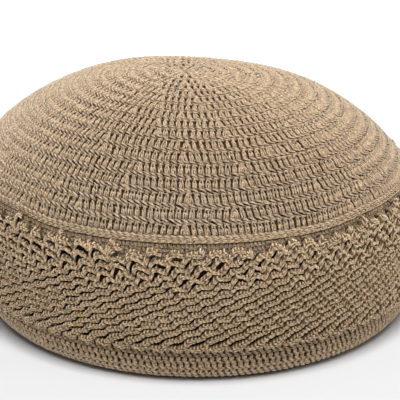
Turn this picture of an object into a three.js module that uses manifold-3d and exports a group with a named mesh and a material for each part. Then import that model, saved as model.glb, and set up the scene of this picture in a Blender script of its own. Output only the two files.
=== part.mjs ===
// A round crocheted floor pouf. A filled body is worked in rounds from the middle of its crown down to
// a flat base. A raised edging cord lies on the crease between crown and side, and a band of wavy
// ruffles, set on the slant like shingles, covers the side down to the last few rounds.
// Millimetres, +Z up. The origin is on the floor, under the middle of the ruffle band.
import * as THREE from "three";
import { mergeVertices } from "three/addons/utils/BufferGeometryUtils.js";
import Module from "manifold-3d";

// Filled body: its outer surface as a profile turned about +Z
const poufHeight = 257.5;
const creaseRadius = 230; // where the crown meets the side
const creaseHeight = 155.5;
const crownReach = 244.7; // half width of the superellipse that the crown is an arc of
const crownPower = 2.19;
const sideRadius = 238; // fullest part of the side, behind the ruffles
const fullestHeight = 95;
const wallFootRadius = 237.5; // where the side starts to roll under
const wallFootHeight = 38;
const baseRadius = 206; // flat disc on the floor
const crownSteps = 240;
const sideSteps = 60;

// Crochet rounds, raised in the surface
const crownRounds = 17; // tall stitches
const crownRoundHeight = 15.4;
const crownGroove = 1.9;
const sideRoundHeight = 6.4; // short stitches below the ruffles
const sideRounds = 10;
const sideGroove = 1.3;
const lowestGroove = 1.5; // up the skin from the edge of the flat disc
const bodySegments = 60;

// How the filling has settled: the crown leans, its crease tilts and droops in front, and it is softly uneven
const leanLeft = 14.5; // of the top against the floor, towards -X
const leanForward = 17; // of the crown above the crease, towards -Y
const creaseTilt = 2.9; // the crease is this much higher at -X than at its middle
const lumpHeight = 1.3;
const lumpSpacing = 215;
const lumpStart = -82; // x of a lump's ridge
const frontDroop = 4.7; // of the crease, at -Y
const droopStart = 0.66; // share of the radius that a point lies towards -Y, where the droop starts
const droopFull = 0.86;
const droopRise = 0.75; // share of the crown's height at which the droop has faded out

// Edging cord: two strands side by side
const strandRadius = 2.1;
const strandSpacing = 3.6;
const strandSides = 4;
const strandArc = THREE.MathUtils.degToRad(243); // how much of each strand's round is its own

// Ruffle band
const ruffleCount = 84;
const ruffleRise = THREE.MathUtils.degToRad(25.3); // slope of each ruffle's root line
const bandTop = 146;
const bandFoot = 49.5;
const bandRows = 11;
const wallRows = 5; // rows of the plain wall behind the band
const bandCore = 190; // radius inside the body, down to which the band is made before it is cut to fit
const valleyDepth = 3.6; // band surface over the body, just under a ruffle's free edge
const edgeStandOff = 9.4; // free edge over the body
const edgeWave = 1.5; // how far a free edge waves in and out
const curlExtra = 3; // ruffles stand further off near their top ends
const curlPower = 3;
const valleyShare = 0.1; // place of the valley and of the edge within one ruffle's width
const edgeShare = 0.9;
const edgeSway = 0.12; // how far a free edge sways sideways near its top, in ruffle widths
const footDrop = 2.6; // free edges hang lower than the root line at the foot
const topScallop = 2.4;
const swaySeed = 3;
const scallopSeed = 7;

// Clearance between pieces, and the distance under which two points of a mesh are one
const gap = 0.35;
const mergeDistance = 1e-4;

const yarnColour = 0xb59b78;
const yarnShadeColour = 0xa88e6b;
const edgingColour = 0xc4ab88;
const yarnRoughness = 0.95;

// A value between -1 and 1 that looks random but is the same every time.
const scatter = { a: 127.1, b: 311.7, scale: 43758.5453 };
function uneven(a, b = 0) {
  const s = Math.sin(a * scatter.a + b * scatter.b) * scatter.scale;
  return 2 * (s - Math.floor(s)) - 1;
}

// The crown's profile from its pole to the crease, an arc of a superellipse.
function crownCurve() {
  const creaseShare = (1 - (creaseRadius / crownReach) ** crownPower) ** (1 / crownPower);
  const centreHeight = (creaseHeight - poufHeight * creaseShare) / (1 - creaseShare);
  return Array.from({ length: crownSteps + 1 }, (_, i) => {
    const r = creaseRadius * Math.sin((i / crownSteps) * (Math.PI / 2));
    const rise = (1 - (r / crownReach) ** crownPower) ** (1 / crownPower);
    return new THREE.Vector2(r, centreHeight + (poufHeight - centreHeight) * rise);
  });
}

// The side's profile from the crease to the edge of the flat base: a full wall, then a roll under.
function sideCurve() {
  const bulge = new THREE.QuadraticBezierCurve(
    new THREE.Vector2(creaseRadius, creaseHeight),
    new THREE.Vector2(sideRadius, (creaseHeight + fullestHeight) / 2),
    new THREE.Vector2(sideRadius, fullestHeight),
  );
  const roll = new THREE.EllipseCurve(
    baseRadius,
    wallFootHeight,
    wallFootRadius - baseRadius,
    wallFootHeight,
    0,
    -Math.PI / 2,
    true,
  );
  return [...bulge.getPoints(sideSteps), ...roll.getPoints(sideSteps)].slice(1);
}

// Walks a profile by its length from its first point, and gives the point and outward normal there.
function walk(points) {
  const lengths = [0];
  for (let i = 1; i < points.length; i++) {
    lengths.push(lengths[i - 1] + points[i].distanceTo(points[i - 1]));
  }
  const at = (length, offset = 0) => {
    const found = lengths.findIndex((l, i) => i > 0 && l >= length);
    const i = found < 0 ? points.length - 1 : found;
    const share = (length - lengths[i - 1]) / (lengths[i] - lengths[i - 1]);
    const along = points[i].clone().sub(points[i - 1]).normalize();
    const point = points[i - 1].clone().lerp(points[i], share);
    return point.add(new THREE.Vector2(-along.y, along.x).multiplyScalar(offset));
  };
  // the length at which the profile comes down to a height
  const down = (height) => {
    const i = points.findIndex((p) => p.y <= height);
    const share = (points[i - 1].y - height) / (points[i - 1].y - points[i].y);
    return lengths[i - 1] + share * (lengths[i] - lengths[i - 1]);
  };
  return { at, down, total: lengths[lengths.length - 1] };
}

const skin = walk([...crownCurve(), ...sideCurve()]);
const creaseLength = skin.down(creaseHeight);

// How far the front has sunk at a point: most at the crease, and none at the back, the middle of the
// crown, and the foot of the ruffles.
function droop(p) {
  const towardsFront = -p.y / Math.max(Math.hypot(p.x, p.y), gap);
  const front = THREE.MathUtils.smoothstep(towardsFront, droopStart, droopFull);
  const above = 1 - (p.z - creaseHeight) / (poufHeight - creaseHeight) / droopRise;
  const below = (p.z - bandFoot) / (creaseHeight - bandFoot);
  return frontDroop * front * Math.max(Math.min(above, below), 0);
}

// Moves a point as the filling has settled. The base stays flat on the floor.
function settle(p) {
  const middle = (bandTop + bandFoot) / 2;
  const crownShare = Math.max((p.z - creaseHeight) / (poufHeight - creaseHeight), 0);
  const wallShare = THREE.MathUtils.clamp(p.z / creaseHeight, 0, 1);
  const lump = Math.cos((2 * Math.PI * (p.x - lumpStart)) / lumpSpacing);
  const tilt = (creaseTilt * wallShare * p.x) / creaseRadius;
  const z = p.z - tilt + lumpHeight * crownShare * lump - droop(p);
  p.x -= (leanLeft * (p.z - middle)) / poufHeight;
  p.y -= leanForward * crownShare;
  p.z = z;
  return p;
}

// Turns a profile about +Z. Each point may be moved by its column and row before it is settled.
function turned(profile, segments, move = () => {}) {
  const geometry = new THREE.LatheGeometry(profile, segments);
  geometry.rotateX(Math.PI / 2);
  geometry.deleteAttribute("normal");
  geometry.deleteAttribute("uv");
  const place = geometry.getAttribute("position");
  const point = new THREE.Vector3();
  for (let i = 0; i < place.count; i++) {
    const column = Math.floor(i / profile.length) % segments;
    const row = i % profile.length;
    point.fromBufferAttribute(place, i);
    move(point, column, row);
    settle(point);
    place.setXYZ(i, point.x, point.y, point.z);
  }
  geometry.computeVertexNormals();
  return geometry;
}

const manifold = await Module();
manifold.setup();

// A geometry as a solid that can be cut, and a solid as a geometry.
function solidOf(geometry) {
  const bare = geometry.clone();
  bare.deleteAttribute("normal");
  const merged = mergeVertices(bare, mergeDistance);
  return new manifold.Manifold(
    new manifold.Mesh({
      numProp: 3,
      vertProperties: merged.getAttribute("position").array,
      triVerts: new Uint32Array(merged.index.array),
    }),
  );
}

function geometryOf(solid) {
  const { vertProperties, triVerts } = solid.getMesh();
  const geometry = new THREE.BufferGeometry();
  geometry.setAttribute("position", new THREE.BufferAttribute(vertProperties, 3));
  geometry.setIndex(new THREE.BufferAttribute(triVerts, 1));
  geometry.computeVertexNormals();
  return geometry;
}

function cloth(name, geometry, color) {
  const material = new THREE.MeshStandardMaterial({ color, roughness: yarnRoughness, metalness: 0 });
  const mesh = new THREE.Mesh(geometry, material);
  mesh.name = name;
  return mesh;
}

// The body's profile, moved outwards by an offset: flat base, side rounds, plain wall behind the
// ruffles, crown rounds.
function bodyProfile(offset = 0) {
  const profile = [new THREE.Vector2(0, -offset), new THREE.Vector2(baseRadius, -offset)];
  const lowest = skin.total - lowestGroove;
  for (let round = 0; round < sideRounds; round++) {
    const foot = lowest - round * sideRoundHeight;
    profile.push(skin.at(foot, offset - sideGroove), skin.at(foot - sideRoundHeight / 2, offset));
  }
  const wallFoot = lowest - sideRounds * sideRoundHeight;
  for (let row = 0; row <= wallRows; row++) {
    profile.push(skin.at(wallFoot + ((creaseLength - wallFoot) * row) / wallRows, offset));
  }
  for (let round = 0; round < crownRounds; round++) {
    const foot = creaseLength - round * crownRoundHeight;
    if (round > 0) profile.push(skin.at(foot, offset - crownGroove));
    profile.push(skin.at(foot - crownRoundHeight / 2, offset));
  }
  profile.push(new THREE.Vector2(0, poufHeight + offset - crownGroove));
  return profile;
}

// The edging cord's section: two round strands side by side, its back just clear of the crease.
function edgingCord() {
  const middle = skin.at(creaseLength, gap + strandRadius);
  const up = skin.at(creaseLength - 1, 0).sub(skin.at(creaseLength, 0)).normalize();
  const out = new THREE.Vector2(up.y, -up.x);
  const section = [];
  for (const side of [1, -1]) {
    for (let i = 0; i < strandSides; i++) {
      const share = (i + 0.5) / strandSides - 0.5;
      const turn = ((side - 1) * Math.PI) / 2 + share * strandArc;
      section.push(
        middle
          .clone()
          .addScaledVector(up, (side * strandSpacing) / 2 + strandRadius * Math.cos(turn))
          .addScaledVector(out, strandRadius * Math.sin(turn)),
      );
    }
  }
  section.reverse().push(section[0].clone());
  return turned(section, bodySegments);
}

// The ruffle band: one ring whose outer face steps in and out once for each slanted ruffle. Its inner
// face is cut to fit the body.
function ruffleBand() {
  const top = skin.down(bandTop);
  const foot = skin.down(bandFoot);
  const outer = Array.from({ length: bandRows + 1 }, (_, row) =>
    skin.at(foot + ((top - foot) * row) / bandRows, valleyDepth),
  );
  const core = [new THREE.Vector2(bandCore, bandTop), new THREE.Vector2(bandCore, bandFoot)];
  const ruffleWidth = (2 * Math.PI) / ruffleCount;
  const twist = 1 / (Math.tan(ruffleRise) * sideRadius);
  const ring = turned([...outer, ...core, outer[0].clone()], 2 * ruffleCount, (point, column, row) => {
    const ruffle = Math.floor(column / 2);
    const isEdge = column % 2 === 1;
    const outerRow = row % (outer.length + core.length);
    let angle = (ruffle + (isEdge ? edgeShare : valleyShare)) * ruffleWidth;
    angle += (point.z - bandFoot) * twist;
    let radius = Math.hypot(point.x, point.y);
    let height = point.z;
    if (outerRow < outer.length) {
      const climb = outerRow / bandRows;
      if (isEdge) {
        const curl = curlExtra * climb ** curlPower;
        radius += edgeStandOff - valleyDepth + edgeWave * uneven(ruffle, outerRow) + curl;
        angle += edgeSway * ruffleWidth * uneven(outerRow + swaySeed, ruffle) * climb;
      }
      if (outerRow === 0 && isEdge) height -= footDrop;
      if (outerRow === bandRows) height += topScallop * uneven(Math.floor(ruffle / 2), scallopSeed);
    }
    point.set(radius * Math.cos(angle), radius * Math.sin(angle), height);
  });
  return geometryOf(solidOf(ring).subtract(solidOf(turned(bodyProfile(gap), bodySegments))));
}

const pouf = new THREE.Group();
pouf.add(cloth("crochet_body", turned(bodyProfile(), bodySegments), yarnColour));
pouf.add(cloth("edging_cord", edgingCord(), edgingColour));
pouf.add(cloth("ruffle_band", ruffleBand(), yarnShadeColour));

export default pouf;
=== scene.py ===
import math

import bmesh
import bpy
import numpy as np
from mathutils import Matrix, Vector
from mathutils.bvhtree import BVHTree
from mathutils.kdtree import KDTree


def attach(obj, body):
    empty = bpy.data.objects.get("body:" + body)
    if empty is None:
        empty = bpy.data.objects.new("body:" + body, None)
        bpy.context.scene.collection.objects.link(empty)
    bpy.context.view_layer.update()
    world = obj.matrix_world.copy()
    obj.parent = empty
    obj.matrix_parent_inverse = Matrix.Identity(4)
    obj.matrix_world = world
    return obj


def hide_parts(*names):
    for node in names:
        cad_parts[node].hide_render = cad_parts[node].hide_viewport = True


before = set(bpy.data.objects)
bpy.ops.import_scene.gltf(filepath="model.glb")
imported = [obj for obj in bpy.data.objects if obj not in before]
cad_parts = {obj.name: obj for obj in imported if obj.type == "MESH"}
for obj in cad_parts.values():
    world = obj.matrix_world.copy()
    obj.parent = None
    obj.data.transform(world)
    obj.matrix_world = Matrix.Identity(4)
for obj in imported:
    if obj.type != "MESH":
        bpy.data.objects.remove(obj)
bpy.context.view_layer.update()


# The filled body. A round inner cushion of cloth, stuffed with fibre, fills the crocheted cover; its cloth is
# coloured dark as painted shade for the gaps between the stitches.
# Its crown is domed, it is drawn in at the crease, and its side rolls under to a flat base. The filling
# has settled: the crown leans a little and is softly uneven.
POUF_HEIGHT = 0.2575
CREASE_RADIUS = 0.230
CREASE_HEIGHT = 0.1555
CROWN_REACH = 0.2447
CROWN_POWER = 2.19
SIDE_RADIUS = 0.238
FULLEST_HEIGHT = 0.095
WALL_FOOT_RADIUS = 0.2375
WALL_FOOT_HEIGHT = 0.038
BASE_RADIUS = 0.206
BAND_MIDDLE = 0.09775
LEAN_LEFT = 0.0145
LEAN_FORWARD = 0.017
CREASE_TILT = 0.0029
LUMP_HEIGHT = 0.0013
LUMP_SPACING = 0.215
LUMP_START = -0.082
FRONT_DROOP = 0.0047
DROOP_START = 0.66
DROOP_FULL = 0.86
DROOP_RISE = 0.75
BAND_FOOT = 0.0495
COVER_THICKNESS = 0.0032
BASE_CLEARANCE = 0.0032
AXIS_GUARD = 0.0032


def crown_curve(steps=240):
    """The crown's profile from its middle to the crease, an arc of a superellipse."""
    crease_share = (1 - (CREASE_RADIUS / CROWN_REACH) ** CROWN_POWER) ** (1 / CROWN_POWER)
    centre = (CREASE_HEIGHT - POUF_HEIGHT * crease_share) / (1 - crease_share)
    r = CREASE_RADIUS * np.sin(np.linspace(0, math.pi / 2, steps + 1))
    rise = (1 - (r / CROWN_REACH) ** CROWN_POWER) ** (1 / CROWN_POWER)
    return np.stack([r, centre + (POUF_HEIGHT - centre) * rise], 1)


def side_curve(steps=60):
    """The side's profile from the crease down: a full wall, then a roll under to the flat base."""
    t = np.linspace(0, 1, steps + 1)[1:]
    bulge_r = (1 - t) ** 2 * CREASE_RADIUS + (1 - (1 - t) ** 2) * SIDE_RADIUS
    middle = (CREASE_HEIGHT + FULLEST_HEIGHT) / 2
    bulge_z = (1 - t) ** 2 * CREASE_HEIGHT + 2 * t * (1 - t) * middle + t**2 * FULLEST_HEIGHT
    turn = np.linspace(0, -math.pi / 2, steps + 1)
    roll_r = BASE_RADIUS + (WALL_FOOT_RADIUS - BASE_RADIUS) * np.cos(turn)
    roll_z = WALL_FOOT_HEIGHT + WALL_FOOT_HEIGHT * np.sin(turn)
    return np.stack([np.r_[bulge_r, roll_r], np.r_[bulge_z, roll_z]], 1)


profile = np.concatenate([crown_curve(), side_curve()])
skin_length = np.r_[0, np.cumsum(np.hypot(*np.diff(profile, axis=0).T))]
profile_way = np.gradient(profile, skin_length, axis=0)
profile_out = np.stack([-profile_way[:, 1], profile_way[:, 0]], 1)
crease_length = float(skin_length[len(crown_curve()) - 1])
wall_length = float(skin_length[-1])

SWELL_TURNS = 72
SWELL_ROWS = 60
LAST_ROW = SWELL_ROWS - 1.001
swell_map = np.zeros((SWELL_TURNS, SWELL_ROWS))


def swell_at(angle, length):
    """How far the filling pushes the skin out at a place, read from the map of the swollen body."""
    across = (angle / (2 * math.pi) * SWELL_TURNS) % SWELL_TURNS
    down = np.clip(length / wall_length * (SWELL_ROWS - 1), 0, LAST_ROW)
    a, d = across.astype(int) % SWELL_TURNS, down.astype(int)
    b, fa, fd = (a + 1) % SWELL_TURNS, across % 1, down % 1
    here = swell_map[a, d] * (1 - fd) + swell_map[a, d + 1] * fd
    beside = swell_map[b, d] * (1 - fd) + swell_map[b, d + 1] * fd
    return here * (1 - fa) + beside * fa


def outline_at(length, off):
    """The radius and height of the cover's outline, at a length down it and a height off it."""
    r, z = (np.interp(length, skin_length, column) for column in profile.T)
    out_r, out_z = (np.interp(length, skin_length, column) for column in profile_out.T)
    return r + off * out_r, z + off * out_z


def droop(x, y, z):
    """How far the front has sunk at a place: most at the crease, and none at the back, the middle of the
    crown, and the foot of the ruffles."""
    towards_front = -y / np.maximum(np.hypot(x, y), AXIS_GUARD)
    share = np.clip((towards_front - DROOP_START) / (DROOP_FULL - DROOP_START), 0, 1)
    above = 1 - (z - CREASE_HEIGHT) / (POUF_HEIGHT - CREASE_HEIGHT) / DROOP_RISE
    below = (z - BAND_FOOT) / (CREASE_HEIGHT - BAND_FOOT)
    return FRONT_DROOP * share**2 * (3 - 2 * share) * np.maximum(np.minimum(above, below), 0)


def settled(points):
    """Moves points as the filling has settled. The base stays flat."""
    x, y, z = np.moveaxis(np.array(points, float), -1, 0)
    crown_share = np.maximum((z - CREASE_HEIGHT) / (POUF_HEIGHT - CREASE_HEIGHT), 0)
    wall_share = np.clip(z / CREASE_HEIGHT, 0, 1)
    lump = np.cos(2 * math.pi * (x - LUMP_START) / LUMP_SPACING)
    tilt = CREASE_TILT * wall_share * x / CREASE_RADIUS
    new_z = z - tilt + LUMP_HEIGHT * crown_share * lump - droop(x, y, z)
    new_x = x - LEAN_LEFT * (z - BAND_MIDDLE) / POUF_HEIGHT
    return np.stack([new_x, y - LEAN_FORWARD * crown_share, new_z], -1)


SMALL_STEP = 1e-4


def on_skin(angle, length, off=0.0):
    """Points on the cover's outer surface: an angle round it, a length down it from the middle of the
    crown, and a height off it."""
    angle, length, off = np.broadcast_arrays(angle, length, off)
    r, z = outline_at(length, off + swell_at(angle, length))
    return settled(np.stack([r * np.cos(angle), r * np.sin(angle), z], -1))


def skin_normal(angle, length):
    """The way out of the cover at a place."""
    way = on_skin(angle, length, SMALL_STEP) - on_skin(angle, length, 0.0)
    return way / np.linalg.norm(way, axis=-1, keepdims=True)


def length_at_height(height):
    """The length down the side at which the outline comes down to a height."""
    return float(np.interp(-height, -profile[:, 1], skin_length))


def placed(name, mesh, material, slot, *replaced):
    """A smooth mesh as a piece that rides on the pouf and stands for its plain solids."""
    mesh.shade_smooth()
    mesh.materials.append(material)
    piece = bpy.data.objects.new(name, mesh)
    bpy.context.scene.collection.objects.link(piece)
    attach(piece, "root")
    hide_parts(*replaced)
    return piece


MERGE_GAP = 1e-5


def turned(name, outline, steps):
    """A closed mesh turned round +Z from radii and heights that start and end on the axis."""
    bm = bmesh.new()
    verts = [bm.verts.new((r, 0, z)) for r, z in outline]
    for one, two in zip(verts, verts[1:]):
        bm.edges.new((one, two))
    spun = [*bm.verts, *bm.edges]
    bmesh.ops.spin(bm, geom=spun, axis=(0, 0, 1), angle=2 * math.pi, steps=steps, use_merge=True)
    bmesh.ops.remove_doubles(bm, verts=bm.verts, dist=MERGE_GAP)
    for vert, place in zip(bm.verts, settled([v.co for v in bm.verts])):
        vert.co = place
    bmesh.ops.recalc_face_normals(bm, faces=bm.faces)
    mesh = bpy.data.meshes.new(name)
    bm.to_mesh(mesh)
    bm.free()
    return mesh


def new_material(name, roughness):
    """A cloth material, its tree and its shader."""
    material = bpy.data.materials.new(name)
    material.use_nodes = True
    shader = material.node_tree.nodes["Principled BSDF"]
    shader.inputs["Roughness"].default_value = roughness
    shader.inputs["Specular IOR Level"].default_value = 0.2
    shader.inputs["Sheen Weight"].default_value = 0.15
    shader.inputs["Sheen Roughness"].default_value = 0.5
    return material, material.node_tree, shader


WEAVE_PITCH = 0.0011
# painted shade: the inner cloth's threads are dark to stand for the shade seen between the stitches
SHADE_DARK_THREADS = ((0.105, 0.062, 0.028, 1), (0.075, 0.044, 0.019, 1))


def inner_cloth_material():
    """Dull cloth in two close shades of thread, both dark as painted shade for the gaps between the stitches.
    """
    material, tree, shader = new_material("inner_cloth", 0.95)
    where = tree.nodes.new("ShaderNodeTexCoord")
    weave = tree.nodes.new("ShaderNodeTexChecker")
    weave.inputs["Scale"].default_value = 1 / WEAVE_PITCH
    weave.inputs["Color1"].default_value, weave.inputs["Color2"].default_value = SHADE_DARK_THREADS
    tree.links.new(where.outputs["Object"], weave.inputs["Vector"])
    tree.links.new(weave.outputs["Color"], shader.inputs["Base Color"])
    shader.inputs["Sheen Weight"].default_value = 0
    shader.inputs["Specular IOR Level"].default_value = 0
    return material


SWELL_ROOM = 0.0025
SWELL_DEPTH = 0.03
SWELL_CAP = 0.002
SWELL_FADE = 0.05
SWELL_VOXEL = 0.006
SWELL_FRAMES = 20
SWELL_SMOOTHINGS = 6
FILLING_PRESSURE = 4

swell_angles = np.arange(SWELL_TURNS) * 2 * math.pi / SWELL_TURNS
swell_lengths = np.linspace(0, wall_length, SWELL_ROWS)
start_depth = COVER_THICKNESS + SWELL_ROOM
body_r, body_z = outline_at(swell_lengths, -start_depth)
body_r[0] = 0
outline = [*zip(body_r, np.maximum(body_z, BASE_CLEARANCE)), (0, BASE_CLEARANCE)]
body_mesh = turned("filled_body", outline, SWELL_TURNS)


def filled_copy(mesh):
    """A copy of the body in cloth, blown up by its filling. Gives the swollen surface as a search tree."""
    copy = bpy.data.objects.new("swelling", mesh.copy())
    bpy.context.scene.collection.objects.link(copy)
    remesh = copy.modifiers.new("remesh", "REMESH")
    remesh.mode = "VOXEL"
    remesh.voxel_size = SWELL_VOXEL
    even_mesh = bpy.data.meshes.new_from_object(copy.evaluated_get(bpy.context.evaluated_depsgraph_get()))
    copy.modifiers.clear()
    copy.data = even_mesh
    cloth = copy.modifiers.new("cloth", "CLOTH")
    cloth.settings.use_pressure = True
    cloth.settings.uniform_pressure_force = FILLING_PRESSURE
    cloth.settings.effector_weights.gravity = 0
    cloth.point_cache.frame_end = SWELL_FRAMES
    for number in range(1, SWELL_FRAMES + 1):
        bpy.context.scene.frame_set(number)
    tree = BVHTree.FromObject(copy, bpy.context.evaluated_depsgraph_get())
    bpy.data.objects.remove(copy)
    bpy.context.scene.frame_set(1)
    return tree


def swell_from(tree):
    """How far the swollen body stands off its even shape at each place, about the mean of each height and
    none under the ruffles, so that the pouf keeps its measured outline and only takes on its unevenness."""
    angle, length = np.meshgrid(swell_angles, swell_lengths, indexing="ij")
    starts, ways = on_skin(angle, length, -SWELL_DEPTH), skin_normal(angle, length)
    stood = np.full(angle.shape, np.nan)
    for index in np.ndindex(angle.shape):
        hit = tree.ray_cast(Vector(starts[index]), Vector(ways[index]), 2 * SWELL_DEPTH)
        stood[index] = hit[3] if hit[3] is not None else SWELL_DEPTH - COVER_THICKNESS
    stood[:, 0] = stood[:, 0].mean()
    for _ in range(SWELL_SMOOTHINGS):
        stood = (np.roll(stood, 1, axis=0) + 2 * stood + np.roll(stood, -1, axis=0)) / 4
    fade = np.clip((length_at_height(BAND_FOOT) - length) / SWELL_FADE, 0, 1)
    return np.clip(stood - stood.mean(axis=0), -SWELL_CAP, SWELL_CAP) * fade


swell = swell_from(filled_copy(body_mesh))
angle, length = np.meshgrid(swell_angles, swell_lengths, indexing="ij")
before = on_skin(angle, length, -start_depth).reshape(-1, 3)
way = skin_normal(angle, length).reshape(-1, 3)
nearest = KDTree(len(before))
for index, place in enumerate(before):
    nearest.insert(place, index)
nearest.balance()
moved = before + way * (SWELL_ROOM + swell.reshape(-1, 1))
for vert in body_mesh.vertices:
    _, index, gap = nearest.find(vert.co)
    if gap < SWELL_CAP:
        vert.co = (*moved[index, :2], max(moved[index, 2], BASE_CLEARANCE))
swell_map = swell
inner_cloth = inner_cloth_material()
filled_body = placed("filled_body", body_mesh, inner_cloth, "crochet_yarn", "crochet_body")
rounded = filled_body.modifiers.new("rounded", "SUBSURF")
rounded.levels = rounded.render_levels = 1


# The crown. Tall stitches (double crochet) in one khaki cotton cord, worked in 17 rounds from the middle
# outwards. Each stitch is a post of two legs out of one stitch of the round before, turns of cord round
# the post, and a slanting head. Where a round grows, two posts stand in one stitch.
CORD_RADIUS = 0.00114
CROWN_ROUNDS = 17
FIRST_STITCHES = 8
ROUND_HEIGHT = 0.0154
STITCH_WIDTH = 0.00645
CROWN_PARTS = {"crown_rounds_inner": (1, 10), "crown_rounds_middle": (11, 14), "crown_rounds_outer": (15, 17)}

# strands of a tall stitch: across in stitch widths, along 0-1 from foot to head, height off the cover in mm
TALL_STITCH = [
    [(-0.02, 0.0, -2.3), (-0.13, 0.10, -1.5), (-0.22, 0.24, -2.1),
     (-0.26, 0.38, -1.4), (-0.27, 0.56, -1.3), (-0.24, 0.80, -2.2)],
    [(0.02, 0.0, -2.4), (0.13, 0.10, -1.6), (0.20, 0.22, -1.6),
     (0.25, 0.40, -1.4), (0.27, 0.58, -2.1), (0.24, 0.82, -1.8)],
    [(-0.02, 0.36, -1.8), (0.02, 0.54, -1.1), (0.00, 0.80, -1.7)],
    [(-0.28, 0.31, -1.7), (0.00, 0.40, -0.3), (0.28, 0.49, -1.9)],
    [(-0.54, 0.70, -1.9), (-0.20, 0.77, -0.4), (0.22, 0.87, -0.4), (0.56, 0.96, -1.8)],
    [(-0.36, 0.90, -2.1), (-0.04, 1.00, -0.9), (0.26, 1.04, -1.0), (0.60, 1.06, -2.2)],
]
# painted shade: a strand takes the hollow colour where it lies deeper than this height in mm, and its own
# colour over the range above it
SHADED_DEPTH = -2.7
SHADE_RANGE = 1.3
CORD_SIDES = 3

# how a stitch strays: across and along in stitches, height in metres, and its width
STITCH_SHIFT = (0.025, 0.012, 0.00012, 0.05)
STRAND_STRAY = (0.045, 0.022)
POST_LEAN = 0.85
HEAD_REACH = 1.1

# a cord's cell in the bake map: where it begins and how far it goes, along and round, and its two ends
CELL_START = (0.04, 0.05)
CELL_SPAN = (0.82, 0.9)
CELL_ENDS = [[(0.90, 0.1), (0.96, 0.1), (0.93, 0.3)], [(0.90, 0.6), (0.96, 0.6), (0.93, 0.8)]]


def round_cord(paths, outward, radius, openness):
    """Cord along each path, closed at both ends. Paths and outward are cords by points by 3, and openness
    says how open to the light each point lies. Gives arrays that joined_cords puts together."""
    cords, points = paths.shape[:2]
    along = np.gradient(paths, axis=1)
    along /= np.linalg.norm(along, axis=-1, keepdims=True)
    beside = np.cross(along, outward)
    beside /= np.linalg.norm(beside, axis=-1, keepdims=True)
    above = np.cross(beside, along)
    turn = np.arange(CORD_SIDES) * 2 * math.pi / CORD_SIDES
    rim = np.cos(turn)[:, None] * above[:, :, None] + np.sin(turn)[:, None] * beside[:, :, None]
    corners = paths[:, :, None] + radius * rim

    row, side = np.meshgrid(np.arange(points - 1), np.arange(CORD_SIDES), indexing="ij")
    row, side = row.ravel(), side.ravel()
    one = np.stack([[row, side], [row, side + 1], [row + 1, side + 1]], -1)
    two = np.stack([[row, side], [row + 1, side + 1], [row + 1, side]], -1)
    rounds = np.arange(CORD_SIDES)
    ends = np.array([[np.zeros(CORD_SIDES, int), rounds[::-1]], [np.full(CORD_SIDES, points - 1), rounds]])
    lattice = np.concatenate([one.transpose(1, 2, 0), two.transpose(1, 2, 0), ends.transpose(0, 2, 1)])
    faces = lattice[..., 0] * CORD_SIDES + lattice[..., 1] % CORD_SIDES

    steps = np.linalg.norm(np.diff(paths, axis=1), axis=-1)
    walked = np.concatenate([np.zeros((cords, 1)), np.cumsum(steps, 1)], 1)
    across_share = np.broadcast_to(lattice[..., 1] / CORD_SIDES, (cords, *faces.shape))
    spots = np.stack([walked[:, lattice[..., 0]], across_share], -1)
    shares = np.stack([lattice[..., 0] / (points - 1), lattice[..., 1] / CORD_SIDES], -1)
    cells = np.array(CELL_START) + np.array(CELL_SPAN) * shares
    cells[-2:] = CELL_ENDS
    openness = np.broadcast_to(np.asarray(openness, float)[..., None], (cords, points, CORD_SIDES))
    return corners, faces, spots, cells, openness


def joined_cords(name, bundles, material, slot, *replaced):
    """Bundles of cord as one piece. It has a map of where each point lies along and round its cord, a map
    with one cell for each cord, and how open to the light each point lies."""
    cords = sum(len(bundle[0]) for bundle in bundles)
    grid = math.ceil(math.sqrt(cords))
    corners, faces, spots, cells, openness = [], [], [], [], []
    first_corner = first_cord = 0
    for places, triangles, spot, cell, light in bundles:
        count, each = len(places), places.shape[1] * CORD_SIDES
        number = np.arange(count)
        corners.append(places.reshape(-1, 3))
        faces.append((triangles + first_corner + (number * each)[:, None, None]).reshape(-1, 3))
        spots.append(spot.reshape(-1, 2))
        column, line = np.divmod(number + first_cord, grid)
        origin = np.stack([column, line], -1)[:, None, None]
        cells.append(((cell + origin) / grid).reshape(-1, 2))
        openness.append(light.ravel())
        first_corner += count * each
        first_cord += count
    corners, faces, spots, cells, openness = map(np.concatenate, (corners, faces, spots, cells, openness))
    mesh = bpy.data.meshes.new(name)
    mesh.vertices.add(len(corners))
    mesh.vertices.foreach_set("co", corners.astype(np.float32).ravel())
    mesh.loops.add(faces.size)
    mesh.loops.foreach_set("vertex_index", faces.astype(np.int32).ravel())
    mesh.polygons.add(len(faces))
    mesh.polygons.foreach_set("loop_start", np.arange(0, faces.size, 3, dtype=np.int32))
    mesh.update(calc_edges=True)
    for map_name, places in (("cord_map", spots), ("OFBake", cells)):
        mesh.uv_layers.new(name=map_name).data.foreach_set("uv", places.astype(np.float32).ravel())
    light = mesh.attributes.new("openness", "FLOAT", "POINT")
    light.data.foreach_set("value", openness.astype(np.float32))
    return placed(name, mesh, material, slot, *replaced)


def math_node(nodes, link, operation, *values):
    """A Math node's result. A value is a number or another node's output."""
    node = nodes.new("ShaderNodeMath")
    node.operation = operation
    for socket, value in zip(node.inputs, values):
        if isinstance(value, (int, float)):
            socket.default_value = value
        else:
            link(value, socket)
    return node.outputs[0]


def mixed(nodes, link, share, one, two):
    """A Mix node's colour, from one at share 0 to two at share 1."""
    node = nodes.new("ShaderNodeMix")
    node.data_type = "RGBA"
    link(share, node.inputs["Factor"])
    link(one, node.inputs["A"])
    link(two, node.inputs["B"])
    return node.outputs["Result"]


CORD_LAY = 0.0058
CORD_PLIES = 3.0
CORD_RELIEF = 0.0004
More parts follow.
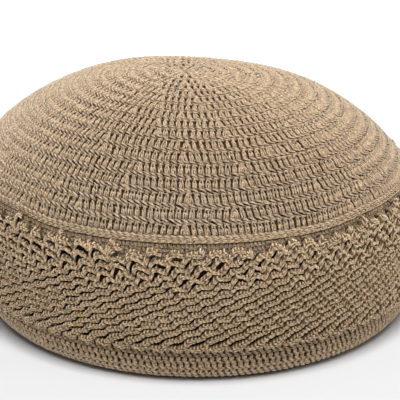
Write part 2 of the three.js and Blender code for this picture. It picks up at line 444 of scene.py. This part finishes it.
# patches of colour in the cord: partly random tone, partly painted shade, their darkest flecks standing for
# small hollows between strands
TONE_AND_SHADE_SCALE = 330
TONE_AND_SHADE_DETAIL = 3
TONE_AND_SHADE_SPREAD = 3.2
TONE_AND_SHADE_START = -1.25
# painted shade: how much paler the backs of the plies are than the grooves between them
PLY_SHADE_SHARE = 0.6


def cotton_cord_group():
    """Twisted cotton cord: its plies as grooves, paler on their backs as painted shade in the grooves, soft
    patches of colour that are partly random tone and partly painted shade of small hollows, and painted
    shade where the cord lies deep between others."""
    group = bpy.data.node_groups.new("cotton_cord", "ShaderNodeTree")
    for socket in ("Pale", "Deep", "Hollow"):
        group.interface.new_socket(socket, in_out="INPUT", socket_type="NodeSocketColor")
    for socket, default in (("Lay", CORD_LAY), ("Plies", CORD_PLIES), ("Relief", CORD_RELIEF)):
        made = group.interface.new_socket(socket, in_out="INPUT", socket_type="NodeSocketFloat")
        made.default_value = default
    group.interface.new_socket("Colour", in_out="OUTPUT", socket_type="NodeSocketColor")
    group.interface.new_socket("Normal", in_out="OUTPUT", socket_type="NodeSocketVector")
    nodes, link = group.nodes, group.links.new
    given, result = nodes.new("NodeGroupInput"), nodes.new("NodeGroupOutput")
    spot = nodes.new("ShaderNodeUVMap")
    spot.uv_map = "cord_map"
    parts = nodes.new("ShaderNodeSeparateXYZ")
    link(spot.outputs["UV"], parts.inputs["Vector"])
    turns = math_node(nodes, link, "DIVIDE", parts.outputs["X"], given.outputs["Lay"])
    twist = math_node(nodes, link, "MULTIPLY_ADD", parts.outputs["Y"], given.outputs["Plies"], turns)
    wave = math_node(nodes, link, "SINE", math_node(nodes, link, "MULTIPLY", twist, 2 * math.pi))
    ply = math_node(nodes, link, "MULTIPLY_ADD", wave, 0.5, 0.5)
    where = nodes.new("ShaderNodeTexCoord")
    tone_and_shade_noise = nodes.new("ShaderNodeTexNoise")
    tone_and_shade_noise.inputs["Scale"].default_value = TONE_AND_SHADE_SCALE
    tone_and_shade_noise.inputs["Detail"].default_value = TONE_AND_SHADE_DETAIL
    link(where.outputs["Object"], tone_and_shade_noise.inputs["Vector"])
    tone_and_shade = math_node(nodes, link, "MULTIPLY_ADD", tone_and_shade_noise.outputs["Fac"], TONE_AND_SHADE_SPREAD, TONE_AND_SHADE_START)
    share = math_node(nodes, link, "MULTIPLY_ADD", ply, PLY_SHADE_SHARE, tone_and_shade)
    face = mixed(nodes, link, share, given.outputs["Deep"], given.outputs["Pale"])
    light = nodes.new("ShaderNodeAttribute")
    light.attribute_name = "openness"
    whole = mixed(nodes, link, light.outputs["Fac"], given.outputs["Hollow"], face)
    link(whole, result.inputs["Colour"])
    bump = nodes.new("ShaderNodeBump")
    bump.inputs["Strength"].default_value = 0.6
    link(given.outputs["Relief"], bump.inputs["Distance"])
    link(ply, bump.inputs["Height"])
    link(bump.outputs["Normal"], result.inputs["Normal"])
    return group


cotton_cord = cotton_cord_group()
# painted shade: the colour a cord takes where it lies deep among other cords
PAINTED_HOLLOW_SHADE = (0.15, 0.080, 0.028)
CORD_SHEEN = 0.4


def cord_material(name, pale, deep):
    """Matt cotton cord in two close shades."""
    material, tree, shader = new_material(name, 0.9)
    cord = tree.nodes.new("ShaderNodeGroup")
    cord.node_tree = cotton_cord
    cord.inputs["Pale"].default_value = (*pale, 1)
    cord.inputs["Deep"].default_value = (*deep, 1)
    cord.inputs["Hollow"].default_value = (*PAINTED_HOLLOW_SHADE, 1)
    tree.links.new(cord.outputs["Colour"], shader.inputs["Base Color"])
    tree.links.new(cord.outputs["Normal"], shader.inputs["Normal"])
    shader.inputs["Sheen Weight"].default_value = CORD_SHEEN
    return material


khaki_cord = cord_material("khaki_cord", (0.78, 0.59, 0.40), (0.37, 0.255, 0.15))


def worked(stitch, foot_angle, head_angle, foot_length, head_length, width, rng):
    """The cords of one round of stitches: each strand of the stitch goes from its foot to its head."""
    bundles = []
    count = len(foot_angle)
    shift = rng.normal(0, 1, (count, 4)) * STITCH_SHIFT
    for strand in stitch:
        across, along, height = np.array(strand).T
        stray = rng.normal(0, 1, (count, 2)) * STRAND_STRAY
        v = along[None] + shift[:, 1:2] + stray[:, 1:]
        u = across[None] * (1 + shift[:, 3:4]) + shift[:, :1] + stray[:, :1]
        lean = np.clip(v, 0, HEAD_REACH) ** POST_LEAN
        middle = foot_angle[:, None] + (head_angle - foot_angle)[:, None] * lean
        angle = middle + u * width
        length = foot_length + v * (head_length - foot_length)
        paths = on_skin(angle, length, height[None] / 1000 + shift[:, 2:3])
        openness = np.clip((height - SHADED_DEPTH) / SHADE_RANGE, 0, 1)
        bundles.append(round_cord(paths, skin_normal(angle, length), CORD_RADIUS, openness))
    return bundles


rng = np.random.default_rng(17)
stitches_before = FIRST_STITCHES
phase_before = 0.0
round_cords = []
for number in range(1, CROWN_ROUNDS + 1):
    head_length = crease_length - (CROWN_ROUNDS - number) * ROUND_HEIGHT
    foot_length = head_length - ROUND_HEIGHT
    stitches = round(2 * math.pi * outline_at(head_length, 0)[0] / STITCH_WIDTH)
    phase = rng.uniform(0, 1)
    place = (np.arange(stitches) + phase) / stitches
    parent = np.round(place * stitches_before - phase_before)
    foot_angle = (parent + phase_before) / stitches_before * 2 * math.pi
    head_angle = place * 2 * math.pi
    width = 2 * math.pi / stitches
    round_cords.append(worked(TALL_STITCH, foot_angle, head_angle, foot_length, head_length, width, rng))
    stitches_before, phase_before = stitches, phase
for name, (first, last) in CROWN_PARTS.items():
    bundles = [bundle for cords in round_cords[first - 1 : last] for bundle in cords]
    joined_cords(name, bundles, khaki_cord, "crochet_yarn", "crochet_body")


# The edging. Two rows of slip stitches laid side by side on the crease stand a little proud of the cover as
# one pale raised line. Each row is a chain of two slanting strands.
EDGING_RADIUS = 0.00105
EDGING_ROWS = ((-0.0026, 1), (-0.0009, -1), (0.0009, 1), (0.0026, -1))
EDGING_HEIGHT = 0.0004
EDGING_WOBBLE = 0.00015
# painted shade: how quickly the edging's cord takes the hollow colour where its links dip into the cover
EDGING_SHADE = 0.6

# a link of the chain: across in stitch widths, down in mm, height off the cover in mm
EDGING_LINK = [(-0.66, -0.60, -1.3), (-0.22, -0.18, 0.2), (0.22, 0.18, 0.2), (0.66, 0.60, -1.3)]

pale_cord = cord_material("pale_cord", (0.84, 0.635, 0.405), (0.42, 0.29, 0.16))
rng = np.random.default_rng(5)
edging_stitches = stitches_before
edging_bundles = []
for row_down, slant in EDGING_ROWS:
    across, down, height = np.array(EDGING_LINK).T
    middle = (np.arange(edging_stitches) + rng.uniform(0, 1)) * 2 * math.pi / edging_stitches
    angle = middle[:, None] + across * 2 * math.pi / edging_stitches
    wobble = rng.normal(0, EDGING_WOBBLE, (edging_stitches, 1))
    length = crease_length + row_down + slant * down / 1000 + wobble
    length = np.broadcast_to(length, angle.shape)
    paths = on_skin(angle, length, EDGING_HEIGHT + height / 1000)
    openness = np.clip(1 + height * EDGING_SHADE, 0, 1)
    edging_bundles.append(round_cord(paths, skin_normal(angle, length), EDGING_RADIUS, openness))
joined_cords("edging_cord_pair", edging_bundles, pale_cord, "edging_yarn", "edging_cord")


# The side. Short stitches (single crochet) in the same cord: fine rounds that show under the edging, and
# the lower rounds, which show under the ruffles and roll under to the base. Behind the ruffles nothing of
# the side shows, so no stitches are made there.
EDGING_REACH = 0.0042
UPPER_SHORT_HEIGHT = 0.0046
UPPER_SHORT_ROUNDS = 4
UPPER_SHORT_SHARE = 1.6
UPPER_STITCH = [
    [(-0.24, -0.05, -2.4), (-0.20, 0.35, -0.9), (-0.10, 0.80, -1.8)],
    [(-0.50, 0.62, -2.2), (0.00, 0.76, -0.5), (0.55, 0.95, -2.2)],
    [(0.16, 0.05, -2.0), (0.24, 0.70, -1.6)],
]
LOWER_SHORT_HEIGHT = 0.00865
LOWER_SHORT_ROUNDS = 8
LOWEST_HEAD = 0.0061
ROUND_DRIFT = 0.2

# strands of a short stitch, worked downwards from its foot to its head
SHORT_STITCH = [
    [(-0.06, -0.04, -2.8), (-0.24, 0.18, -1.5), (-0.27, 0.36, -1.3), (-0.24, 0.56, -1.9)],
    [(-0.03, 0.02, -2.3), (-0.08, 0.20, -0.9), (-0.08, 0.40, -0.8), (-0.06, 0.60, -1.8)],
    [(0.00, -0.04, -2.7), (0.10, 0.16, -1.5), (0.12, 0.36, -1.4), (0.10, 0.56, -2.0)],
    [(-0.50, 0.44, -2.2), (-0.18, 0.54, -0.6), (0.16, 0.68, -0.6), (0.50, 0.84, -2.0)],
    [(-0.24, 0.82, -2.0), (0.04, 0.90, -1.0), (0.32, 0.88, -1.0), (0.66, 0.80, -2.2)],
]

rng = np.random.default_rng(23)
upper_bundles = []
upper_stitches = round(UPPER_SHORT_SHARE * stitches_before)
for number in range(UPPER_SHORT_ROUNDS):
    foot_length = crease_length + EDGING_REACH + number * UPPER_SHORT_HEIGHT
    place = (np.arange(upper_stitches) - ROUND_DRIFT * number) * 2 * math.pi / upper_stitches
    width = 2 * math.pi / upper_stitches
    head_length = foot_length + UPPER_SHORT_HEIGHT
    upper_bundles += worked(UPPER_STITCH, place, place, foot_length, head_length, width, rng)
joined_cords("side_rounds_upper", upper_bundles, khaki_cord, "crochet_yarn", "crochet_body")

lower_bundles = []
for number in range(LOWER_SHORT_ROUNDS):
    head_length = wall_length - LOWEST_HEAD - number * LOWER_SHORT_HEIGHT
    foot_length = head_length - LOWER_SHORT_HEIGHT
    stitches = round(2 * math.pi * outline_at((head_length + foot_length) / 2, 0)[0] / STITCH_WIDTH)
    place = (np.arange(stitches) + ROUND_DRIFT * number) * 2 * math.pi / stitches
    width = 2 * math.pi / stitches
    lower_bundles += worked(SHORT_STITCH, place, place, foot_length, head_length, width, rng)
# The lower rounds are the crown's cord in a darker copy of its colours: painted shade under the ruffles.
lower_cord_painted_shade = cord_material("lower_cord_painted_shade", (0.745, 0.55, 0.35), (0.35, 0.24, 0.13))
joined_cords("side_rounds_lower", lower_bundles, lower_cord_painted_shade, "crochet_yarn", "crochet_body")


# The base. The last rounds lie flat on the floor, pressed smooth by the weight of the pouf, and turn up a
# little into the side. Their rounds are low relief, and their stitches are in the material.
BASE_ROUND = 0.0064
BASE_RELIEF = 0.0009
BASE_THICKNESS = 0.0031
BASE_TURNS = 96
LIP_ROUNDS = 1.6
LIP_POINTS = 5
LIP_DEPTH = 0.0002
LIP_BACK = 0.004
LIP_RISE = 0.002
RIM_SETBACK = 0.01
# painted shade: the colour of the low places between the pressed rounds and stitches
BASE_PAINTED_SHADE = (0.20, 0.125, 0.06, 1)
BASE_FACE = (0.55, 0.395, 0.235, 1)
BASE_BUMP = 0.0012
BASE_UNEVENNESS = 1.5


def base_yarn_material():
    """Cord pressed flat: raised rounds about the middle of the base, broken up by stitches of their width,
    and painted shade in the low places between them.
    """
    material, tree, shader = new_material("base_yarn", 0.9)
    link = tree.links.new
    where = tree.nodes.new("ShaderNodeTexCoord")
    stitch_cells = tree.nodes.new("ShaderNodeTexVoronoi")
    stitch_cells.inputs["Scale"].default_value = 1 / BASE_ROUND
    round_lines = tree.nodes.new("ShaderNodeTexWave")
    round_lines.wave_type = "RINGS"
    round_lines.rings_direction = "Z"
    round_lines.inputs["Scale"].default_value = math.pi / 10 / BASE_ROUND
    round_lines.inputs["Distortion"].default_value = BASE_UNEVENNESS
    round_lines.inputs["Detail Scale"].default_value = 1.2
    centred = tree.nodes.new("ShaderNodeMapping")
    centred.inputs["Location"].default_value = (-LEAN_LEFT * BAND_MIDDLE / POUF_HEIGHT, 0, 0)
    heights = (round_lines.outputs["Fac"], stitch_cells.outputs["Distance"])
    raised = math_node(tree.nodes, link, "SUBTRACT", *heights)
    shade = tree.nodes.new("ShaderNodeMix")
    shade.data_type = "RGBA"
    shade.inputs["A"].default_value = BASE_PAINTED_SHADE
    shade.inputs["B"].default_value = BASE_FACE
    relief = tree.nodes.new("ShaderNodeBump")
    relief.inputs["Distance"].default_value = BASE_BUMP
    relief.inputs["Strength"].default_value = 0.8
    link(where.outputs["Object"], stitch_cells.inputs["Vector"])
    link(where.outputs["Object"], centred.inputs["Vector"])
    link(centred.outputs["Vector"], round_lines.inputs["Vector"])
    link(raised, shade.inputs["Factor"])
    link(raised, relief.inputs["Height"])
    link(shade.outputs["Result"], shader.inputs["Base Color"])
    link(relief.outputs["Normal"], shader.inputs["Normal"])
    return material


base_rounds = int(BASE_RADIUS / BASE_ROUND)
base_r = np.linspace(0, BASE_RADIUS, 2 * base_rounds + 1)
underside = BASE_RELIEF * np.sin(np.pi * base_r / BASE_ROUND) ** 2
underside[0] = 0
lip_height = np.linspace(0, LIP_ROUNDS * BASE_ROUND, LIP_POINTS + 1)[1:]
lip_r, lip_z = outline_at(wall_length - lip_height, -LIP_DEPTH)
lip = [*zip(lip_r, lip_z), (lip_r[-1] - LIP_BACK, lip_z[-1] + LIP_RISE)]
upper_side = [(BASE_RADIUS - RIM_SETBACK, BASE_THICKNESS), (0, BASE_THICKNESS)]
base_mesh = turned("base_rounds", [*zip(base_r, underside), *lip, *upper_side], BASE_TURNS)
placed("base_rounds", base_mesh, base_yarn_material(), "crochet_yarn", "crochet_body")


# The ruffles. 84 strips of short stitches, each worked onto the side along a slanting line and wider than
# its line is long, so its free edge waves. They overlap like shingles, and curl most near their top ends.
RUFFLES = 84
RUFFLE_RISE = math.radians(25.3)
RUFFLE_TOP = 0.1510
RUFFLE_FOOT = 0.0460
RUFFLE_DROP = 0.0048
RUFFLE_STAND = 0.0082
RUFFLE_STITCH = 0.0036
RUFFLE_CORD_RADIUS = 0.00105
FOOT_TAPER = 0.010
FOOT_DIP = 0.0035
FOOT_SPAN = 0.024
TOP_TAPER = 0.008
TOP_END = 0.026
TOP_LIFT = 0.0056
TOP_TURN = 0.0030
TOP_STAND = 0.0015
WAVE_LENGTH = 0.0168
WAVE_SIZE = 0.0021
TOP_WAVE = 0.0034
TOP_LOOP = 0.0016
STAND_WAVE = 0.0014
CURL_POWER = 2.2
TOP_EASE = 0.0015
TOP_ROOM = 0.0036
TOP_SINK = 0.35
TOP_SINK_SPAN = 0.012
RUFFLE_SHIFT = 2 * math.pi * SIDE_RADIUS / RUFFLES * math.cos(RUFFLE_RISE)

# how one ruffle differs from the next: where its wave starts and drifts, in radians, the wave's size as a
# share, and the ruffle's length in metres
WAVE_STEP = -0.26
WAVE_STEP_STRAY = 0.8
WAVE_TURN_STRAY = 0.7
WAVE_SIZES = (0.6, 1.3)
REACH_STRAY = (-0.014, 0.006)

# how a wave changes along its ruffle: over what length in metres, and by how much of its size
PHASE_DRIFT_LENGTH = 0.019
SIZE_DRIFT_LENGTH = 0.017
SIZE_MEAN = 0.9
SIZE_DRIFT = 0.35
WAVE_SHARPNESS = 0.2

# where across a ruffle its own wave takes over from the one above, how it hangs and stands across, and how
# much of that is left at its two ends
OWN_START = 0.45
OWN_SPAN = 0.5
DROP_POWER = 2.2
STAND_POWER = 2.8
FOOT_FULLNESS = 0.2
TIP_FULLNESS = 0.25
SMALL_SHARE = 0.01

# strands of a ruffle's stitch: along in stitches, across from root to free edge, height off the strip in mm
RUFFLE_STRANDS = [
    [(-0.10, 0.44, -0.3), (0.96, 0.42, -0.7)],
    [(0.42, 0.30, -1.2), (0.30, 0.46, 0.2), (0.10, 0.62, 0.6), (-0.10, 0.76, -0.5)],
    [(-0.16, 0.78, -0.7), (0.30, 0.84, 1.0), (0.80, 0.92, -0.3)],
    [(-0.20, 0.94, -0.7), (0.28, 1.01, 0.7), (0.78, 1.04, -0.6)],
]
TOP_STRANDS = [
    [(-0.16, 0.12, -0.7), (0.30, 0.05, 1.0), (0.80, -0.03, -0.5)],
    [(0.00, 0.14, -0.5), (0.42, 0.22, 1.0), (0.86, 0.30, -0.5)],
]

# how a ruffle's stitch strays: along in stitches, across in shares, and height in mm
RUFFLE_STITCH_SHIFT = (0.10, 0.015, 0.15)

# painted shade: how open to the light a strand is, by its height in mm, and how each ruffle shades the next,
# reaching further across at the sides and most on the right
STRAND_SHADE = (1.1, 1.4)
TOP_SHADE = 0.75
TOP_SHADE_SPAN = 0.004
COVER_TURN = RUFFLES / 12
COVER_EDGE = 0.36
COVER_SOFTNESS = 0.10
SIDE_PAINTED_SHADE_REACH = 0.085
RIGHT_PAINTED_SHADE_REACH = 0.055

top_limit = crease_length + TOP_ROOM
ruffle_foot_length = length_at_height(RUFFLE_FOOT)
ruffle_length = (ruffle_foot_length - length_at_height(RUFFLE_TOP)) / math.sin(RUFFLE_RISE)
rng = np.random.default_rng(84)
wave_start = np.cumsum(rng.normal(WAVE_STEP, WAVE_STEP_STRAY, RUFFLES))
wave_turns = np.cumsum(rng.normal(0, WAVE_TURN_STRAY, (RUFFLES, 2)), axis=0)
wave_size = rng.uniform(*WAVE_SIZES, RUFFLES)
top_turn = rng.uniform(-1, 1, RUFFLES)
strip_reach = ruffle_length + rng.uniform(*REACH_STRAY, RUFFLES)


def edge_wave(ruffle, t):
    """How a ruffle's free edge waves along it, at about -1 to 1: up and down, and back and forth."""
    turns = wave_turns[ruffle]
    drift = np.sin(t / PHASE_DRIFT_LENGTH + turns[..., 0])
    phase = 2 * math.pi * t / WAVE_LENGTH + wave_start[ruffle] + drift
    size = wave_size[ruffle] * (SIZE_MEAN + SIZE_DRIFT * np.sin(t / SIZE_DRIFT_LENGTH + turns[..., 1]))
    return size * (np.sin(phase) - WAVE_SHARPNESS * np.sin(2 * phase)), size * np.cos(phase)


def on_ruffle(ruffle, along, across, height):
    """Points on the ruffles: along one from its foot, across it from root to free edge, and a height
    off its outer face. A ruffle's upper part follows the free edge of the one above."""
    ruffle, along, across, height = np.broadcast_arrays(ruffle, along, np.maximum(across, 0), height)
    reach = strip_reach[ruffle]

    def mid_face(t, w):
        """The strip's middle surface, at a length along it and a share across it."""
        end = np.clip((t - reach) / TOP_END + 1, 0, 1)
        curl = np.clip(t / reach, 0, 1) ** CURL_POWER
        own, own_loop = edge_wave(ruffle, t)
        above, above_loop = edge_wave(ruffle - 1, t + RUFFLE_SHIFT)
        own_share = np.clip((w - OWN_START) / OWN_SPAN, 0, 1)
        own_share = own_share + (1 - own_share) * curl
        swing = above + (own - above) * own_share
        loop = TOP_LOOP * curl * w * (above_loop + (own_loop - above_loop) * own_share)
        foot = np.clip(t / FOOT_TAPER, 0, 1)
        top = np.clip((reach - t) / TOP_TAPER, 0, 1)
        tip = np.sqrt(1 - (1 - top) ** 2)
        full = FOOT_FULLNESS + (1 - FOOT_FULLNESS) * np.sqrt(1 - (1 - foot) ** 2)
        drop = RUFFLE_DROP * full * w**DROP_POWER - TOP_LIFT * end * (1 - w)
        drop = drop * (TIP_FULLNESS + (1 - TIP_FULLNESS) * tip) - TOP_TURN * top_turn[ruffle] * end**2
        fall = (WAVE_SIZE + TOP_WAVE * curl) * foot * swing
        fall = fall + FOOT_DIP * w * np.sin(math.pi * np.clip(t / FOOT_SPAN, 0, 1)) ** 2
        out = RUFFLE_STAND * full * tip * (1 - np.maximum(1 - w, 0) ** STAND_POWER)
        out = out - STAND_WAVE * (1 + curl) * swing * w + TOP_STAND * end * tip * (1 + top_turn[ruffle])
        angle = (ruffle + 0.5) * 2 * math.pi / RUFFLES
        angle = angle + ((t + loop) * math.cos(RUFFLE_RISE) + drop * math.sin(RUFFLE_RISE)) / SIDE_RADIUS
        length = ruffle_foot_length - (t + loop) * math.sin(RUFFLE_RISE) + drop * math.cos(RUFFLE_RISE) + fall
        length = top_limit + TOP_EASE * np.logaddexp(0, (length - top_limit) / TOP_EASE)
        sunk = TOP_SINK * np.clip(1 - (length - top_limit) / TOP_SINK_SPAN, 0, 1)
        return on_skin(angle, length, out * (1 - sunk))

    here = mid_face(along, across)
    lengthwise = mid_face(along + SMALL_STEP, across) - here
    edgewise = mid_face(along, across + SMALL_SHARE) - here
    way = np.cross(edgewise, lengthwise)
    way /= np.linalg.norm(way, axis=-1, keepdims=True)
    return here + way * height[..., None], way


def ruffle_openness(ruffle, along, across):
    """How open to the light a ruffle is, as painted shade: dark at its root, which the next one covers but
    for its top end. At the sides, and most on the right, the painted shade reaches further across."""
    covered = np.clip((strip_reach[ruffle] - along - TOP_END) / TOP_SHADE_SPAN + 0.5, TOP_SHADE, 1)
    rightwards = np.cos((ruffle + COVER_TURN) * 2 * math.pi / RUFFLES)
    edge = COVER_EDGE + SIDE_PAINTED_SHADE_REACH * np.abs(rightwards) + RIGHT_PAINTED_SHADE_REACH * rightwards
    return 1 - covered * (1 - np.clip((across - edge) / COVER_SOFTNESS, 0, 1))


# The ruffles are the same cord in a paler copy of its colours: painted light.
ruffle_cord_painted_light = cord_material("ruffle_cord_painted_light", (0.92, 0.69, 0.44), (0.46, 0.315, 0.175))
RUFFLE_PARTS = {"ruffles_right": (0, 28), "ruffles_back_left": (28, 56), "ruffles_front": (56, 84)}
rng = np.random.default_rng(48)
for name, (first, last) in RUFFLE_PARTS.items():
    bundles = []
    for strands, from_top in ((RUFFLE_STRANDS, None), (TOP_STRANDS, TOP_END)):
        ruffle, stitch = [], []
        for number in range(first, last):
            stitches = int(strip_reach[number] / RUFFLE_STITCH)
            begin = 0 if from_top is None else stitches - int(from_top / RUFFLE_STITCH)
            ruffle += [number] * (stitches - begin)
            stitch += range(begin, stitches)
        ruffle, stitch = np.array(ruffle)[:, None], np.array(stitch)[:, None]
        for strand in strands:
            along, across, height = np.array(strand).T
            shift = rng.normal(0, 1, (len(ruffle), 3)) * RUFFLE_STITCH_SHIFT
            t = (stitch + along + shift[:, :1]) * RUFFLE_STITCH
            w = across + shift[:, 1:2]
            paths, way = on_ruffle(ruffle, t, w, (height + shift[:, 2:]) / 1000)
            shade = np.clip((height + STRAND_SHADE[0]) / STRAND_SHADE[1], 0, 1)
            openness = ruffle_openness(ruffle, t, w) * shade
            bundles.append(round_cord(paths, way, RUFFLE_CORD_RADIUS, openness))
    joined_cords(name, bundles, ruffle_cord_painted_light, "ruffle_yarn", "ruffle_band")

STRIP_STEPS = 70
# painted shade: the strip sheet shows in the gaps between cords, dark for the shade there and darker where
# the next ruffle covers it
STRIP_DEEP_PAINTED_SHADE = (0.045, 0.026, 0.011, 1)
STRIP_PAINTED_SHADE = (0.20, 0.132, 0.068, 1)

# the strip's section, from its root to its free edge and back: across it, and height off it in metres
STRIP_RING = [(0.0, -0.0010), (0.3, -0.0006), (0.6, -0.0006), (1.0, -0.001), (0.6, -0.0014), (0.3, -0.0014)]


def strip_cloth_material():
    """The crochet between the cords of a ruffle: painted shade, dark for the gaps between the cords and
    darker where the next ruffle covers it.
    """
    material, tree, shader = new_material("strip_cloth", 0.95)
    shader.inputs["Sheen Weight"].default_value = 0
    shader.inputs["Specular IOR Level"].default_value = 0
    light = tree.nodes.new("ShaderNodeAttribute")
    light.attribute_name = "openness"
    blend = tree.nodes.new("ShaderNodeMix")
    blend.data_type = "RGBA"
    blend.inputs["A"].default_value = STRIP_DEEP_PAINTED_SHADE
    blend.inputs["B"].default_value = STRIP_PAINTED_SHADE
    tree.links.new(light.outputs["Fac"], blend.inputs["Factor"])
    tree.links.new(blend.outputs["Result"], shader.inputs["Base Color"])
    return material


def strips_mesh():
    """The strips of all the ruffles as one mesh: a ring of points at each step along each strip, joined up
    and closed at both ends."""
    across, height = np.array(STRIP_RING).T
    number = np.arange(RUFFLES)[:, None, None]
    t = np.linspace(0, 1, STRIP_STEPS)[None, :, None] * (strip_reach[:, None, None] - RUFFLE_STITCH)
    points, _ = on_ruffle(number, t, across[None, None], height[None, None])
    ring = np.arange(STRIP_STEPS * len(STRIP_RING)).reshape(STRIP_STEPS, -1)
    after = np.roll(ring, -1, axis=1)
    faces = np.stack([ring[:-1], after[:-1], after[1:], ring[1:]], -1).reshape(-1, 4)
    faces = (faces + number * ring.size).reshape(-1, 4).tolist()
    first_points = number[..., 0] * ring.size
    faces += (first_points + ring[0][::-1]).tolist() + (first_points + ring[-1]).tolist()
    mesh = bpy.data.meshes.new("ruffle_strips")
    mesh.from_pydata(points.reshape(-1, 3).tolist(), [], faces)
    openness = ruffle_openness(number, t, across[None, None]).ravel().astype(np.float32)
    mesh.attributes.new("openness", "FLOAT", "POINT").data.foreach_set("value", openness)
    return mesh


strips = placed("ruffle_strips", strips_mesh(), strip_cloth_material(), "ruffle_yarn", "ruffle_band")


# The room. A plain pale floor that runs out of sight, soft light from above, both sides and the front, an
# even light on the floor alone, and a camera at the photograph's viewing angle.
CAMERA_DISTANCE = 1.6
CAMERA_ELEVATION = math.radians(20.24)
CAMERA_AIM = Vector((0.0068, 0.0, 0.1059))
FOCAL_SHARE = 1470 / 400
SENSOR = 36.0
FLOOR_SIZE = 12
FLOOR_NEAR = 0.40
FLOOR_FAR = 0.62
# painted shade: the floor is greyer round the pouf and white further out
NEAR_PAINTED_SHADE = (0.53, 0.535, 0.55, 1)
FAR_PAINT = (0.90, 0.90, 0.915, 1)
FLOOR_WASH = 4.0
FLOOR_WASH_SPREAD = math.radians(30)
FLOOR_WASH_TILT = math.radians(30)
SKY_LIGHT = 0.22

camera_data = bpy.data.cameras.new("camera")
camera_data.sensor_width = SENSOR
camera_data.lens = SENSOR * FOCAL_SHARE
camera = bpy.data.objects.new("camera", camera_data)
back = Vector((0, -math.cos(CAMERA_ELEVATION), math.sin(CAMERA_ELEVATION)))
camera.location = CAMERA_AIM + back * CAMERA_DISTANCE
camera.rotation_euler = (math.pi / 2 - CAMERA_ELEVATION, 0, 0)
bpy.context.scene.collection.objects.link(camera)
bpy.context.scene.camera = camera


def floor_paint_material():
    """Pale grey round the pouf as painted shade about it, turning white further out."""
    material, tree, shader = new_material("floor_paint", 0.8)
    shader.inputs["Sheen Weight"].default_value = 0
    where = tree.nodes.new("ShaderNodeTexCoord")
    distance = tree.nodes.new("ShaderNodeVectorMath")
    distance.operation = "LENGTH"
    away = tree.nodes.new("ShaderNodeMapRange")
    away.inputs["From Min"].default_value = FLOOR_NEAR
    away.inputs["From Max"].default_value = FLOOR_FAR
    paint = tree.nodes.new("ShaderNodeMix")
    paint.data_type = "RGBA"
    paint.inputs["A"].default_value = NEAR_PAINTED_SHADE
    paint.inputs["B"].default_value = FAR_PAINT
    tree.links.new(where.outputs["Object"], distance.inputs[0])
    tree.links.new(distance.outputs["Value"], away.inputs["Value"])
    tree.links.new(away.outputs["Result"], paint.inputs["Factor"])
    tree.links.new(paint.outputs["Result"], shader.inputs["Base Color"])
    return material


bm = bmesh.new()
bmesh.ops.create_grid(bm, x_segments=1, y_segments=1, size=FLOOR_SIZE)
floor_mesh = bpy.data.meshes.new("floor")
bm.to_mesh(floor_mesh)
bm.free()
floor_mesh.materials.append(floor_paint_material())
floor = bpy.data.objects.new("floor", floor_mesh)
bpy.context.scene.collection.objects.link(floor)


def soft_light(name, place, aim, size, power, colour):
    """A square soft light at a place, turned to a point."""
    data = bpy.data.lights.new(name, "AREA")
    data.color = colour
    data.size = size
    data.energy = power
    light = bpy.data.objects.new(name, data)
    light.location = place
    light.rotation_euler = (Vector(aim) - Vector(place)).to_track_quat("-Z", "Y").to_euler()
    bpy.context.scene.collection.objects.link(light)
    return light


def floor_collection(name):
    """A collection of the floor alone, which a light can shine on, or leave out."""
    made = bpy.data.collections.new(name)
    made.objects.link(floor)
    return made


# soft lights: place, what each is turned to, size in metres, power in watts, and colour
SOFT_LIGHTS = {
    "overhead": ((0.1, 0.12, 2.2), (0, 0, 0.1), 1.8, 41, (0.98, 0.99, 1)),
    "right": ((2.2, -0.6, 0.9), (0, 0, 0.15), 1.2, 5, (1, 1, 1)),
    "left": ((-2.2, -0.8, 1.0), (0, 0, 0.15), 1.2, 1.5, (1, 1, 1)),
    "front": ((0.2, -1.9, 2.4), (0, 0, 0.1), 1.5, 38, (1, 0.975, 0.93)),
}
soft_lights = {name: soft_light(name, *values) for name, values in SOFT_LIGHTS.items()}
spared = floor_collection("spared_floor")
spared.collection_objects[0].light_linking.link_state = "EXCLUDE"
soft_lights["overhead"].light_linking.receiver_collection = spared

floor_light = bpy.data.lights.new("floor_wash", "SUN")
floor_light.energy = FLOOR_WASH
floor_light.angle = FLOOR_WASH_SPREAD
floor_wash = bpy.data.objects.new("floor_wash", floor_light)
floor_wash.rotation_euler = (FLOOR_WASH_TILT, 0, 0)
bpy.context.scene.collection.objects.link(floor_wash)
floor_wash.light_linking.receiver_collection = floor_collection("washed_floor")

world = bpy.data.worlds.new("studio")
world.use_nodes = True
background = world.node_tree.nodes["Background"]
background.inputs["Color"].default_value = (1, 1, 1, 1)
background.inputs["Strength"].default_value = SKY_LIGHT
bpy.context.scene.world = world
bpy.context.scene.view_settings.view_transform = "Standard"
